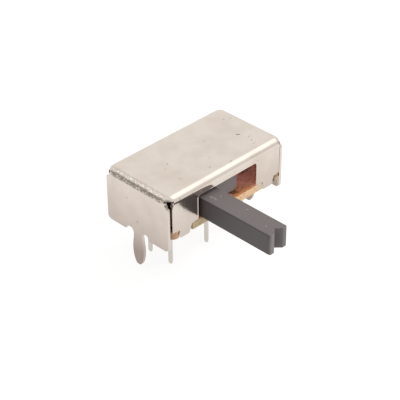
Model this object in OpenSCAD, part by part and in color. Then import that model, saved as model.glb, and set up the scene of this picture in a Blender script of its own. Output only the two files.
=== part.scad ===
// Side-actuated double-pole slide switch for a circuit board: a folded steel
// case crimped round a laminate base, six staked terminals, and a moulded
// slider whose long lever reaches out of a window in the case's front wall.
//
// Millimetres. The origin lies on the board seat plane, which is the lower
// edge of the two end walls, midway between all four walls. X is the slide
// direction, -Y is the lever's side and +Z is up. The slider is drawn at the
// left end of its travel.

/* [Case] */
// Length over the two end walls
case_l = 12.7; // [12.5:0.1:15]
// Depth over the front and back walls
case_d = 7.1; // [7.0:0.1:9]
// Height of the roof above the seat plane
case_h = 4.8; // [4.7:0.1:6]
// Thickness of the folded sheet
sheet_t = 0.3; // [0.2:0.05:0.35]
// Outer radius of the bends round the roof
bend_r = 0.6; // [0.5:0.05:0.7]
// Radius of the roof's corners, seen from above
roof_corner_r = 0.8; // [0.65:0.05:1.2]
// Setback of the end walls' upright edges from the front and back faces
end_setback = 0.15; // [0.1:0.05:0.3]
// Radius of the end walls' lower corners
end_corner_r = 0.4; // [0.1:0.05:0.6]
// Gap left between neighbouring walls at a corner
fold_gap = 0.08; // [0.05:0.01:0.15]
// Radius of the round relief opening under each roof corner
relief_r = 0.6; // [0.45:0.05:0.75]

/* [Case window] */
// Gap between the lever's side and the window's edge at either end of travel
window_side_gap = 0.23; // [0.1:0.01:0.35]
// Gap between the lever's top and the window's upper edge
window_head_gap = 0.3; // [0.1:0.01:0.4]
// Radius of the window's upper corners
window_r = 0.25; // [0.1:0.05:0.4]

/* [Crimp tabs] */
// Distance from the end of the front wall to the tab
crimp_inset = 0.7; // [0.6:0.05:0.9]
// Width of a crimp tab at its root
crimp_root_w = 1.35; // [1.1:0.05:1.45]
// Width of a crimp tab where it turns under the base
crimp_w = 0.8; // [0.6:0.05:1.0]
// Inner radius of a crimp tab's fold
crimp_in_r = 0.05; // [0.02:0.01:0.1]
// Length of a crimp tab's foot under the base
crimp_foot = 0.9; // [0.6:0.05:1.2]
// Clearance round a crimp tab in its notch in the base
crimp_gap = 0.05; // [0.03:0.01:0.1]

/* [Mounting tabs] */
// Depth of a mounting tab below the seat plane
tab_l = 2.8; // [2.0:0.1:3.2]
// Width of a mounting tab at its neck
tab_neck_w = 0.95; // [0.8:0.05:1.1]
// Greatest width of a mounting tab
tab_bulge_w = 1.2; // [1.1:0.05:1.5]
// Depth of the greatest width below the seat plane
tab_bulge_z = 1.35; // [1.0:0.05:1.6]
// Width of a mounting tab's blunt tip
tab_tip_w = 0.3; // [0.2:0.05:0.5]
// Radius of the relief notches beside a tab's neck
tab_notch_r = 0.4; // [0.25:0.05:0.5]
// Radius of the end wall's corners at the relief notches
notch_lip_r = 0.2; // [0.1:0.05:0.3]

/* [Base board] */
// Height of the base's upper face above the seat plane
board_top = 1.66; // [1.6:0.02:1.8]
// Thickness of the laminate
board_t = 0.65; // [0.5:0.05:0.7]
// Radius of the base's corners
board_corner_r = 0.5; // [0.2:0.05:0.6]
// Clearance between the base's ends and the end walls
board_end_gap = 0.03; // [0.02:0.01:0.1]

/* [Terminals] */
// Pitch of the terminals along the case, which is also the slider's travel
pitch = 4.0; // [3.8:0.1:4.2]
// Distance between the front and back rows
row_pitch = 2.3; // [2.0:0.1:2.6]
// Depth of the terminals' tips below the seat plane
pin_l = 3.35; // [3.3:0.05:4.5]
// Width of a pin along the case
pin_w = 0.3; // [0.25:0.05:0.5]
// Thickness of the terminal strip
pin_t = 0.24; // [0.2:0.02:0.4]
// Length of a pin's tapered tip
pin_taper = 0.25; // [0.2:0.05:0.6]
// Width of a pin's blunt end
pin_tip_w = 0.16; // [0.08:0.02:0.2]
// Clearance round a pin in its slot in the base
pin_gap = 0.03; // [0.02:0.01:0.06]
// Diameter of a terminal's head
head_d = 1.3; // [1.1:0.1:1.5]
// Width of a terminal's head across the rows
head_w = 0.9; // [0.7:0.1:1.0]
// Height of a terminal's head above the base
head_t = 0.2; // [0.15:0.01:0.22]
// Reach of the swaged ears that lock a pin under the base
ear_w = 0.12; // [0.08:0.01:0.2]
// Height of the swaged ears
ear_h = 0.3; // [0.2:0.05:0.5]

/* [Slider] */
// Space left between the block and an end wall at the end of its travel
block_end_gap = 0.5; // [0.3:0.05:0.7]
// Height of the block's underside above the base
block_lift = 0.36; // [0.3:0.01:0.4]
// Running clearance between the slider and the case or base
run_gap = 0.05; // [0.04:0.01:0.08]
// Side clearance between the block and the front and back walls
block_side_gap = 0.2; // [0.1:0.01:0.3]
// Width of the skids that the slider runs on
skid_w = 0.4; // [0.3:0.05:0.5]
// Distance from the block's face to the skids
skid_inset = 0.3; // [0.2:0.05:0.4]
// Bevel on the block's upright and upper edges
block_bevel = 0.15; // [0.05:0.05:0.3]

/* [Lever] */
// Width of the lever
lever_w = 1.95; // [1.6:0.05:2.1]
// Height of the lever
lever_h = 1.78; // [1.5:0.02:1.9]
// Reach of the lever in front of the case
lever_reach = 7.05; // [3:0.05:12]
// Width of the groove across the lever's tip
groove_w = 0.94; // [0.4:0.02:1.0]
// Depth of the groove across the lever's tip
groove_depth = 0.46; // [0.2:0.02:0.8]
// Radius of the tip's upright corners
tip_r = 0.22; // [0.1:0.02:0.3]
// Radius of the lever's long edges
lever_edge_r = 0.12; // [0.04:0.02:0.2]

/* [Contact clips] */
// Thickness of the clips' spring strip
clip_t = 0.12; // [0.08:0.01:0.15]
// Width of a clip
clip_w = 0.8; // [0.6:0.05:0.9]
// Rise of a clip's crest above its feet
clip_rise = 0.7; // [0.5:0.05:0.75]
// Length of a clip beyond each foot
clip_overhang = 0.55; // [0.3:0.05:0.6]
// Clearance between a clip's feet and the terminals' heads
clip_foot_gap = 0.03; // [0.02:0.01:0.05]
// Clearance round a clip in its pocket
clip_gap = 0.1; // [0.05:0.01:0.15]

/* [Detent] */
// Diameter of the detent ball
ball_d = 1.0; // [0.8:0.05:1.1]
// Clearance round the ball in its bore
ball_gap = 0.04; // [0.03:0.01:0.06]
// Clearance between the ball and the back wall
ball_wall_gap = 0.03; // [0.03:0.01:0.05]
// Plastic left above the detent bore
bore_cover = 0.25; // [0.2:0.01:0.35]
// Depth of the detent bore from the block's back face
bore_depth = 3.6; // [2.5:0.1:4.2]
// Outer diameter of the detent spring
spring_d = 0.86; // [0.6:0.02:0.88]
// Wire diameter of the detent spring
spring_wire = 0.14; // [0.1:0.01:0.16]
// Turns of the detent spring
spring_turns = 7; // [5:1:8]
// Height of the back wall's detent dimples
dimple_h = 0.12; // [0.06:0.01:0.15]
// Radius of the back wall's detent dimples
dimple_r = 0.9; // [0.7:0.05:1.1]

/* [Hidden] */

$fn = 48;
cut = 0.5;  // overrun of a cutting tool past the face that it cuts

// Case
inner_l = case_l - 2 * sheet_t;
inner_d = case_d - 2 * sheet_t;
roof_z = case_h - sheet_t;
bend_in_r = bend_r - sheet_t;
end_w = case_d - 2 * end_setback;
wall_l = inner_l - 2 * fold_gap;

// Slider
slider_x = -pitch / 2;
block_l = inner_l - pitch - 2 * block_end_gap;
block_z = board_top + block_lift;
block_top = roof_z - run_gap;
block_d = inner_d - 2 * block_side_gap;
lever_z = board_top + run_gap;
lever_top = lever_z + lever_h;

// Window
window_w = lever_w + pitch + 2 * window_side_gap;
window_top = lever_top + window_head_gap;

// Crimp tabs
crimp_x = wall_l / 2 - crimp_inset - crimp_root_w / 2;
crimp_bend_r = sheet_t + crimp_in_r;
board_z = board_top - board_t;

// Terminals and clips
head_z = board_top + head_t;
clip_foot_z = head_z + clip_foot_gap;
pocket_top = clip_foot_z + clip_rise + clip_t + clip_foot_gap;
pocket_l = pitch + 2 * clip_overhang + 2 * clip_gap;

// Detent
bore_d = ball_d + 2 * ball_gap;
detent_z = block_top - bore_cover - bore_d / 2;
ball_y = inner_d / 2 - ball_wall_gap - ball_d / 2;
spring_r = (spring_d - spring_wire) / 2;
spring_seat_y = block_d / 2 - bore_depth;

// Turns a drawing in the YZ plane into a solid centred on X = 0
module along_x(length) {
    rotate([90, 0, 90])
        translate([0, 0, -length / 2])
            linear_extrude(length)
                children();
}

// Turns a drawing in the XZ plane into a solid centred on Y = 0
module along_y(length) {
    rotate([90, 0, 0])
        translate([0, 0, -length / 2])
            linear_extrude(length)
                children();
}

// Puts a copy on each side of the YZ plane
module both_ends() {
    children();
    mirror([1, 0, 0]) children();
}

// Puts a copy on each side of the XZ plane
module both_sides() {
    children();
    mirror([0, 1, 0]) children();
}

// A rectangle that stands on z = 0, with its two upper corners rounded
module arch_outline(w, h, r) {
    translate([-w / 2, 0])
        square([w, h - r]);
    translate([-w / 2 + r, 0])
        square([w - 2 * r, h]);
    for (side = [-1, 1])
        translate([side * (w / 2 - r), h - r])
            circle(r);
}

// A rectangle centred on the origin, with four rounded corners
module round_rectangle(w, d, r) {
    square([w - 2 * r, d], center = true);
    square([w, d - 2 * r], center = true);
    for (x = [-1, 1], y = [-1, 1])
        translate([x * (w / 2 - r), y * (d / 2 - r)])
            circle(r);
}

// Roof and four walls as one folded box, open below
module folded_box() {
    difference() {
        intersection() {
            along_x(case_l) arch_outline(case_d, case_h, bend_r);
            along_y(case_d) arch_outline(case_l, case_h, bend_r);
        }
        intersection() {
            translate([0, 0, -cut]) along_x(inner_l) arch_outline(inner_d, roof_z + cut, bend_in_r);
            translate([0, 0, -cut]) along_y(inner_d) arch_outline(inner_l, roof_z + cut, bend_in_r);
        }
    }
}

// What the rounded roof takes off one corner of the folded box
module roof_corner_waste() {
    core_r = roof_corner_r - bend_r;
    over = case_h + 2 * cut;
    translate([case_l / 2 - roof_corner_r, roof_corner_r - case_d / 2, 0])
        difference() {
            translate([0, -roof_corner_r - cut, roof_z])
                cube([roof_corner_r + cut, roof_corner_r + cut, sheet_t + cut]);
            rotate_extrude()
                intersection() {
                    square([roof_corner_r, over]);
                    union() {
                        square([core_r, over]);
                        translate([core_r, case_h - bend_r])
                            circle(bend_r);
                    }
                }
        }
}

// One wall's side of a corner slot: everything past the wall's edge, and the
// round relief opening centred on the roof's corner
module slot_outline(edge, corner) {
    translate([edge, -cut])
        square([corner - edge + cut, roof_z + cut]);
    intersection() {
        translate([corner, roof_z])
            circle(relief_r);
        square([corner + relief_r, roof_z]);
    }
}

// Slot at one corner that parts the front wall from the end wall, and widens
// into the relief opening under the roof's corner
module corner_slot() {
    wall_end = wall_l / 2;
    intersection() {
        along_y(2 * case_d) slot_outline(wall_end, case_l / 2);
        along_x(2 * case_l) mirror([1, 0]) slot_outline(end_w / 2, case_d / 2);
    }
    intersection() {
        along_y(case_d + cut) slot_outline(wall_end, case_l / 2);
        translate([0, -case_d / 2 - cut, -cut])
            cube([inner_l / 2, bend_r + cut, case_h]);
    }
}

// Half width of a mounting tab at depth s below the seat plane: it swells from
// the neck to the bulge, then closes like an ellipse to the blunt tip
function tab_half_w(s) =
    s < tab_bulge_z
    ? (tab_neck_w + (tab_bulge_w - tab_neck_w) * (1 - cos(180 * s / tab_bulge_z)) / 2) / 2
    : tab_bulge_w / 2 * sqrt(1 - pow(tab_close * (s - tab_bulge_z) / (tab_l - tab_bulge_z), 2));
tab_close = sqrt(1 - pow(tab_tip_w / tab_bulge_w, 2));

module mounting_tab_outline() {
    steps = 20;
    depths = [for (i = [0 : steps]) tab_l * sin(90 * i / steps)];
    right = [for (s = depths) [tab_half_w(s), -s]];
    left = [for (i = [steps : -1 : 0]) [-tab_half_w(depths[i]), -depths[i]]];
    polygon(concat(right, left));
    translate([-tab_neck_w / 2, -tab_notch_r / 4])
        square([tab_neck_w, tab_notch_r]);
}

// What is taken off an end wall: its upright edges, its lower corners and the
// two relief notches beside the mounting tab
module end_wall_waste() {
    notch_y = tab_neck_w / 2 + tab_notch_r;
    lip_y = sqrt(pow(tab_notch_r + notch_lip_r, 2) - pow(notch_lip_r, 2));
    lip_z = notch_lip_r * tab_notch_r / (tab_notch_r + notch_lip_r);
    difference() {
        translate([-case_d, -cut])
            square([2 * case_d, cut + end_corner_r]);
        translate([-end_w / 2 + end_corner_r, 0])
            square([end_w - 2 * end_corner_r, end_corner_r + cut]);
        for (side = [-1, 1])
            translate([side * (end_w / 2 - end_corner_r), end_corner_r])
                circle(end_corner_r);
    }
    for (side = [0, 1])
        mirror([side, 0])
            translate([notch_y, 0]) {
                circle(tab_notch_r);
                difference() {
                    translate([0, -cut])
                        square([lip_y, cut + lip_z]);
                    translate([lip_y, notch_lip_r])
                        circle(notch_lip_r);
                }
            }
}

// Front view of a crimp tab, from its root in the wall to below its fold
module crimp_front_outline() {
    low = board_z - sheet_t;
    polygon([
        [-crimp_root_w / 2, board_top],
        [crimp_root_w / 2, board_top],
        [crimp_w / 2, board_z],
        [crimp_w / 2, low - cut],
        [-crimp_w / 2, low - cut],
        [-crimp_w / 2, board_z],
    ]);
}

// Side view of a crimp tab: down the wall, round the base's edge and under it
module crimp_side_outline() {
    face = -case_d / 2;
    low = board_z - sheet_t;
    translate([face, low + crimp_bend_r])
        square([sheet_t, board_top - low - crimp_bend_r]);
    translate([face + crimp_bend_r, low])
        square([crimp_foot - crimp_bend_r, sheet_t]);
    intersection() {
        translate([face, low])
            square(crimp_bend_r);
        translate([face + crimp_bend_r, low + crimp_bend_r])
            difference() {
                circle(crimp_bend_r);
                circle(crimp_bend_r - sheet_t);
            }
    }
}

module crimp_tab() {
    intersection() {
        translate([crimp_x, 0, 0]) along_y(2 * case_d) crimp_front_outline();
        along_x(2 * case_l) crimp_side_outline();
    }
}

// Opening that the lever slides along, open to the base below
module window_cut() {
    translate([0, -case_d / 2, -cut])
        along_y(2 * sheet_t + cut)
            arch_outline(window_w, window_top + cut, window_r);
}

// Ball seats pressed outwards in the back wall, one for each end of travel
module detent_dimples(r, from_y) {
    for (side = [-1, 1])
        intersection() {
            translate([side * pitch / 2, case_d / 2 + dimple_h - dimple_r, detent_z])
                rotate([90, 0, 0])
                    sphere(r);
            translate([-case_l / 2, from_y, 0])
                cube([case_l, case_d, case_h]);
        }
}

module case() {
    color([0.82, 0.79, 0.74])
    difference() {
        union() {
            difference() {
                folded_box();
                // the front and back walls end on the base
                translate([-wall_l / 2 - fold_gap, -case_d, -cut])
                    cube([wall_l + 2 * fold_gap, 2 * case_d, board_top + cut]);
                both_sides() both_ends() roof_corner_waste();
                both_sides() both_ends() corner_slot();
            }
            both_sides() both_ends() crimp_tab();
            both_ends()
                translate([case_l / 2 - sheet_t / 2, 0, 0])
                    along_x(sheet_t) mounting_tab_outline();
            detent_dimples(dimple_r, case_d / 2 - sheet_t / 2);
        }
        both_ends()
            translate([case_l / 2 - sheet_t / 2, 0, 0])
                along_x(2 * sheet_t)
                    difference() {
                        end_wall_waste();
                        mounting_tab_outline();
                    }
        window_cut();
        detent_dimples(dimple_r - sheet_t, 0);
    }
}

// Slot for one terminal pin
module pin_slot(x, y) {
    translate([x - pin_w / 2 - pin_gap, y - pin_t / 2 - pin_gap, board_z - cut])
        cube([pin_w + 2 * pin_gap, pin_t + 2 * pin_gap, board_t + 2 * cut]);
}

// Notch that lets one crimp tab pass the base's edge
module crimp_notch() {
    notch_w = crimp_root_w + 2 * crimp_gap;
    translate([crimp_x - notch_w / 2, -case_d / 2 - cut, board_z - cut])
        cube([notch_w, sheet_t + crimp_gap + cut, board_t + 2 * cut]);
}

module base_board() {
    board_l = inner_l - 2 * board_end_gap;
    color([0.66, 0.42, 0.22])
    difference() {
        translate([0, 0, board_z])
            linear_extrude(board_t)
                round_rectangle(board_l, case_d, board_corner_r);
        both_sides() both_ends() crimp_notch();
        for (column = [-1, 0, 1], row = [-1, 1])
            pin_slot(column * pitch, row * row_pitch / 2);
    }
}

// One stamped terminal: a coined head on the base, a pin through its slot with
// two swaged ears that lock it from below, and a tapered tip
module terminal(column, row) {
    half_w = pin_w / 2;
    tip_half_w = pin_tip_w / 2;
    ear_low = board_z - ear_h;
    color([0.83, 0.81, 0.76])
    translate([column * pitch, row * row_pitch / 2, 0]) {
        intersection() {
            translate([0, 0, board_top])
                cylinder(d = head_d, h = head_t);
            translate([-head_d / 2, -head_w / 2, board_top])
                cube([head_d, head_w, head_t]);
        }
        along_y(pin_t)
            polygon([
                [-half_w, board_top + head_t / 2],
                [half_w, board_top + head_t / 2],
                [half_w, board_z],
                [half_w + ear_w, board_z],
                [half_w, ear_low],
                [half_w, pin_taper - pin_l],
                [tip_half_w, -pin_l],
                [-tip_half_w, -pin_l],
                [-half_w, pin_taper - pin_l],
                [-half_w, ear_low],
                [-half_w - ear_w, board_z],
                [-half_w, board_z],
            ]);
    }
}

module terminal_front_left() { terminal(-1, -1); }
module terminal_front_middle() { terminal(0, -1); }
module terminal_front_right() { terminal(1, -1); }
module terminal_back_left() { terminal(-1, 1); }
module terminal_back_middle() { terminal(0, 1); }
module terminal_back_right() { terminal(1, 1); }

// A rectangle centred on the origin, with the block's bevel at its corners
module bevelled_rectangle(w, d) {
    half_w = w / 2;
    half_d = d / 2;
    polygon([
        [-half_w + block_bevel, -half_d],
        [half_w - block_bevel, -half_d],
        [half_w, -half_d + block_bevel],
        [half_w, half_d - block_bevel],
        [half_w - block_bevel, half_d],
        [-half_w + block_bevel, half_d],
        [-half_w, half_d - block_bevel],
        [-half_w, -half_d + block_bevel],
    ]);
}

// The slider's block, bevelled everywhere but on its underside
module block() {
    block_h = block_top - block_z;
    translate([0, 0, block_z])
        intersection() {
            linear_extrude(block_h) bevelled_rectangle(block_l, block_d);
            along_x(2 * block_l) bevelled_rectangle(block_d, 2 * block_h);
            along_y(2 * block_d) bevelled_rectangle(block_l, 2 * block_h);
        }
}

// Plan of the lever, from inside the block to the grooved tip
module lever_plan() {
    tip_y = -case_d / 2 - lever_reach;
    mouth_w = groove_w * (1 + cut / groove_depth);
    difference() {
        union() {
            translate([-lever_w / 2, tip_y + tip_r])
                square([lever_w, -tip_y - tip_r]);
            translate([-lever_w / 2 + tip_r, tip_y])
                square([lever_w - 2 * tip_r, 2 * tip_r]);
            for (side = [-1, 1])
                translate([side * (lever_w / 2 - tip_r), tip_y + tip_r])
                    circle(tip_r);
        }
        polygon([
            [-mouth_w / 2, tip_y - cut],
            [mouth_w / 2, tip_y - cut],
            [0, tip_y + groove_depth],
        ]);
    }
}

// The lever with its rounded long edges, rooted inside the block
module lever() {
    root_y = skid_inset + skid_w - block_d / 2;
    tip_y = -case_d / 2 - lever_reach;
    intersection() {
        translate([0, 0, lever_z])
            linear_extrude(lever_h)
                lever_plan();
        translate([0, (root_y + tip_y) / 2, lever_z + lever_h / 2])
            along_y(root_y - tip_y)
                round_rectangle(lever_w, lever_h, lever_edge_r);
    }
}

module slider() {
    skid_l = block_l - 2 * skid_inset;
    color([0.33, 0.30, 0.30])
    translate([slider_x, 0, 0])
    difference() {
        union() {
            block();
            lever();
            both_sides()
                translate([-skid_l / 2, -block_d / 2 + skid_inset, lever_z])
                    cube([skid_l, skid_w, block_lift]);
        }
        for (row = [-1, 1])
            translate([-pocket_l / 2, row * row_pitch / 2 - clip_w / 2 - clip_gap, block_z - cut])
                cube([pocket_l, clip_w + 2 * clip_gap, pocket_top - block_z + cut]);
        translate([0, block_d / 2 + cut, detent_z])
            rotate([90, 0, 0])
                cylinder(d = bore_d, h = bore_depth + cut);
    }
}

// Height of a clip's centre line above its feet, at distance x from its crest
function clip_wave(x) = clip_rise * (1 + cos(360 * x / pitch)) / 2;
function clip_slope(x) = -clip_rise * 180 / pitch * (PI / 180) * sin(360 * x / pitch);

// Bowed spring strip that bridges two neighbouring terminal heads
module contact_clip(row) {
    steps = 32;
    half_l = pitch / 2 + clip_overhang;
    xs = [for (i = [0 : steps]) half_l * (2 * i / steps - 1)];
    upper = [for (x = xs) clip_edge(x, clip_t / 2)];
    lower = [for (i = [steps : -1 : 0]) clip_edge(xs[i], -clip_t / 2)];
    color([0.78, 0.62, 0.36])
    translate([slider_x, row * row_pitch / 2, clip_foot_z + clip_t / 2])
        along_y(clip_w)
            polygon(concat(upper, lower));
}

// Point beside the clip's centre line at x, offset square to it
function clip_edge(x, off) =
    let (n = sqrt(1 + pow(clip_slope(x), 2)))
    [x - off * clip_slope(x) / n, clip_wave(x) + off / n];

module contact_clip_front() { contact_clip(-1); }
module contact_clip_back() { contact_clip(1); }

// Coil spring along Y from its seat in the bore to the ball
module detent_spring() {
    sides = 8;
    rings_per_turn = 14;
    ring_count = rings_per_turn * spring_turns;
    wire_r = spring_wire / 2;
    play = ball_gap / 2;
    reach = sqrt(pow(ball_d / 2 + wire_r + play, 2) - pow(spring_r, 2));
    start_y = spring_seat_y + wire_r + play;
    span = ball_y - reach - start_y;
    points = [
        for (i = [0 : ring_count], k = [0 : sides - 1])
            let (turn = 360 * spring_turns * i / ring_count)
            let (side = 360 * k / sides)
            let (r = spring_r + wire_r * cos(side))
            [r * cos(turn), start_y + span * i / ring_count + wire_r * sin(side), r * sin(turn)]
    ];
    walls = [
        for (i = [0 : ring_count - 1], k = [0 : sides - 1])
            let (next = (k + 1) % sides)
            [i * sides + k, i * sides + next, (i + 1) * sides + next, (i + 1) * sides + k]
    ];
    start_cap = [[for (k = [sides - 1 : -1 : 0]) k]];
    end_cap = [[for (k = [0 : sides - 1]) ring_count * sides + k]];
    color([0.70, 0.70, 0.72])
    translate([slider_x, 0, detent_z])
        polyhedron(points = points, faces = concat(walls, start_cap, end_cap));
}

module detent_ball() {
    color([0.75, 0.76, 0.78])
    translate([slider_x, ball_y, detent_z])
        sphere(d = ball_d);
}

case();
base_board();
terminal_front_left();
terminal_front_middle();
terminal_front_right();
terminal_back_left();
terminal_back_middle();
terminal_back_right();
slider();
contact_clip_front();
contact_clip_back();
detent_spring();
detent_ball();
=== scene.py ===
"""Finish and studio for a board-mounted slide switch.

Each stamped or moulded piece starts as a merged copy of its CAD node and gets
the edge radii that its tool leaves. The detent spring is wound afresh, and the
contact clips and the ball keep their CAD meshes. Work on a mesh is done in
millimetres, and it is shrunk to metres at the end. Names that end in _MM, _DEG
or _W, in capitals or not, give their unit; other lengths are metres.
"""

import math

import bpy
from bpy.props import FloatProperty, FloatVectorProperty, IntProperty, PointerProperty
from bpy.types import Node, NodeSocket, Operator, Panel, PropertyGroup
from mathutils import Matrix, Vector


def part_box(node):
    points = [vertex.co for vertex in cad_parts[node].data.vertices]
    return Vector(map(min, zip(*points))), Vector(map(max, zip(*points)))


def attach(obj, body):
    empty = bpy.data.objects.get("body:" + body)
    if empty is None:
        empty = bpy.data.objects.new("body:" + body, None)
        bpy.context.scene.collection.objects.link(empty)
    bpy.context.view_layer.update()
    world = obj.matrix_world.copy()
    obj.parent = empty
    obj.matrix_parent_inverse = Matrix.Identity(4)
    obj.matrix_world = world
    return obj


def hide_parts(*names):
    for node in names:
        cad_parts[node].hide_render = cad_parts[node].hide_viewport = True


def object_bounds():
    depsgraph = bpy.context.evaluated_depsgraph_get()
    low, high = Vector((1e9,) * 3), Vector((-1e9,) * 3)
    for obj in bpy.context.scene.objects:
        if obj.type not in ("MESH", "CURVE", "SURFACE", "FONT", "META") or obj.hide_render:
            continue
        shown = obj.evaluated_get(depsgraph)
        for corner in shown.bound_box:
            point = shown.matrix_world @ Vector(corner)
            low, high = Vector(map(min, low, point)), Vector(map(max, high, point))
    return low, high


bl_info = {
    "name": "Slide switch",
    "version": (1, 0, 0),
    "blender": (4, 5, 0),
    "location": "3D View > Sidebar > Slide switch",
    "description": "Finishes the pieces of a board-mounted slide switch and lights them",
    "category": "Object",
}

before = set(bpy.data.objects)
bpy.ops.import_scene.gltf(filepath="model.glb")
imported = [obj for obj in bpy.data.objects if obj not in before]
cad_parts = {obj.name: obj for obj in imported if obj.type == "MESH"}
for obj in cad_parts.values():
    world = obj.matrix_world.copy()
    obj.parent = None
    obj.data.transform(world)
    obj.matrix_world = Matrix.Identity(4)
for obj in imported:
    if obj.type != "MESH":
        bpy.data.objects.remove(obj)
CAD_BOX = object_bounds()

MM = 1000.0  # millimetres in a metre
MERGE_MM = 0.002  # vertices closer than this are one
FLAT_DEG = 0.5  # faces that meet at less than this are one
SHARP_DEG = 40.0  # edges sharper than this are rounded
SMOOTH_DEG = 36.0  # edges sharper than this stay crisp when shaded

# The CAD pieces that the finishes are placed by
CASE_LOW_MM, CASE_HIGH_MM = (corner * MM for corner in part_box("case"))
SLIDER_LOW_MM, SLIDER_HIGH_MM = (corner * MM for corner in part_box("slider"))
BOARD_TOP_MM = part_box("base_board")[1].z * MM
END_MM = CASE_HIGH_MM.x  # outer face of the right end wall
FRONT_MM = CASE_LOW_MM.y  # outer face of the front wall
ROOF_MM = CASE_HIGH_MM.z
TIP_MM = SLIDER_LOW_MM.y  # end of the lever

# How the case's sheet runs
SHEET_MM = 0.3  # thickness
BEND_MM = 0.6  # outer radius of the bends into the roof
SLACK_MM = 0.01  # a vertex may be this far off its face
WALL_X_MM = END_MM - SHEET_MM - SLACK_MM  # inner face of the end walls
WALL_Y_MM = -FRONT_MM - SHEET_MM - SLACK_MM  # inner face of the front and back walls
BEND_START_MM = ROOF_MM - BEND_MM - SLACK_MM  # the walls start to bend here
RELIEF_REACH_MM = 1.15  # the corner reliefs' reach from the walls' outer faces
RELIEF_DEPTH_MM = 0.76  # their lowest place below the roof
CRIMP_FOLD_MM = (-FRONT_MM - 0.4, 0.9, 1.15)  # outside this y, between these heights
SEAM_X_MM = (-5.94, 5.87)  # left and right ends of the front and back walls

# Front face of the slider's front skid, and a height just above the skid's foot
LEVER_ROOT_MM = (0.3 - SLIDER_HIGH_MM.y, SLIDER_LOW_MM.z + 0.19)


def linear(hex_colour):
    """An sRGB hex colour as linear red, green, blue and alpha."""
    channels = []
    for i in (0, 2, 4):
        value = int(hex_colour[i : i + 2], 16) / 255
        if value <= 0.04045:
            channels.append(value / 12.92)
        else:
            channels.append(((value + 0.055) / 1.055) ** 2.4)
    return (*channels, 1.0)


def per_metre(size_mm):
    """The Scale input that makes a pattern's features about size_mm across."""
    return MM / size_mm


# ---------------------------------------------------------------- settings


class CaseSettings(PropertyGroup):
    """The folded case and its plating"""

    edge_round: FloatProperty(
        name="Edge radius",
        description="Radius that punching and tumbling leave on the sheet's edges",
        default=0.06e-3,
        min=0.0,
        unit="LENGTH",
    )
    plate: FloatVectorProperty(
        name="Plating",
        description="Colour of the nickel plating",
        subtype="COLOR",
        size=4,
        default=linear("DACFC5"),
    )
    stained: FloatVectorProperty(
        name="Stained plating",
        description="Colour of the plating where it is faintly stained",
        subtype="COLOR",
        size=4,
        default=linear("D1C5BA"),
    )
    # Painted shade: the darker plating colour low on the walls and at the ends of the mounting
    # tabs
    painted_low_shade: FloatVectorProperty(
        name="Dulled plating",
        description="Colour of the plating at the ends of the mounting tabs",
        subtype="COLOR",
        size=4,
        default=linear("9F9088"),
    )


class BaseSettings(PropertyGroup):
    """The laminate base"""

    edge_round: FloatProperty(
        name="Edge radius",
        description="Wear on the laminate's edges",
        default=0.04e-3,
        min=0.0,
        unit="LENGTH",
    )
    face: FloatVectorProperty(
        name="Face",
        description="Colour of the laminate's glossy faces",
        subtype="COLOR",
        size=4,
        default=linear("B48C7C"),
    )
    edge: FloatVectorProperty(
        name="Edge",
        description="Colour of the laminate's sheared edges",
        subtype="COLOR",
        size=4,
        default=linear("C2A484"),
    )
    scorched: FloatVectorProperty(
        name="Scorched edge",
        description="Colour of the sheared edges where the punch has burnished them",
        subtype="COLOR",
        size=4,
        default=linear("8A6242"),
    )


class SliderSettings(PropertyGroup):
    """The moulded slider"""

    edge_round: FloatProperty(
        name="Edge radius",
        description="Radius on the moulding's edges",
        default=0.05e-3,
        min=0.0,
        unit="LENGTH",
    )
    plastic: FloatVectorProperty(
        name="Plastic",
        description="Colour of the moulding",
        subtype="COLOR",
        size=4,
        default=linear("554E4D"),
    )
    rubbed: FloatVectorProperty(
        name="Rubbed plastic",
        description="Colour of the moulding's pale specks and scuffs",
        subtype="COLOR",
        size=4,
        default=linear("8E8683"),
    )


class MetalSettings(PropertyGroup):
    """The terminals, the contact clips and the detent spring"""

    edge_round: FloatProperty(
        name="Edge radius",
        description="Radius on the terminals' stamped edges",
        default=0.03e-3,
        min=0.0,
        unit="LENGTH",
    )
    silver: FloatVectorProperty(
        name="Silver plating",
        description="Colour of the terminals",
        subtype="COLOR",
        size=4,
        default=linear("D3CCC4"),
    )
    bronze: FloatVectorProperty(
        name="Phosphor bronze",
        description="Colour of the contact clips",
        subtype="COLOR",
        size=4,
        default=linear("D2A679"),
    )
    wire: FloatProperty(
        name="Spring wire",
        description="Diameter of the detent spring's wire",
        default=0.14e-3,
        min=0.01e-3,
        unit="LENGTH",
    )
    turns: IntProperty(
        name="Spring turns",
        description="Turns of the detent spring",
        default=7,
        min=2,
    )


class StudioSettings(PropertyGroup):
    """The lights and the floor"""

    key_w: FloatProperty(
        name="Key light",
        description="Power of the high softbox to the right",
        default=0.12,
        min=0.0,
        unit="POWER",
    )
    fill_w: FloatProperty(
        name="Fill light",
        description="Power of the low softbox in front",
        default=0.07,
        min=0.0,
        unit="POWER",
    )
    tent: FloatProperty(
        name="Tent",
        description="Brightness of the white tent round the object",
        default=0.96,
        min=0.0,
    )
    floor_glow: FloatProperty(
        name="Floor glow",
        description="Light that the back-lit floor gives off",
        default=0.88,
        min=0.0,
    )
    floor: FloatVectorProperty(
        name="Floor",
        description="Colour of the floor",
        subtype="COLOR",
        size=4,
        default=linear("6A6A69"),
    )


# ---------------------------------------------------------------- node work


def add_node(tree, kind, inputs=None, **settings):
    """Adds a node, sets its properties, and sets or links its inputs.

    An input takes a value, a socket, or a node, which stands for its first output.
    """
    node = tree.nodes.new(kind)
    for name, value in settings.items():
        setattr(node, name, value)
    for socket, value in (inputs or {}).items():
        if isinstance(value, Node):
            value = value.outputs[0]
        if isinstance(value, NodeSocket):
            tree.links.new(value, node.inputs[socket])
        else:
            node.inputs[socket].default_value = value
    return node


# A colour Mix node's factor and two colours, and its result, by their numbers
FACTOR, FIRST, SECOND, MIXED = 0, 6, 7, 2


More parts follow.
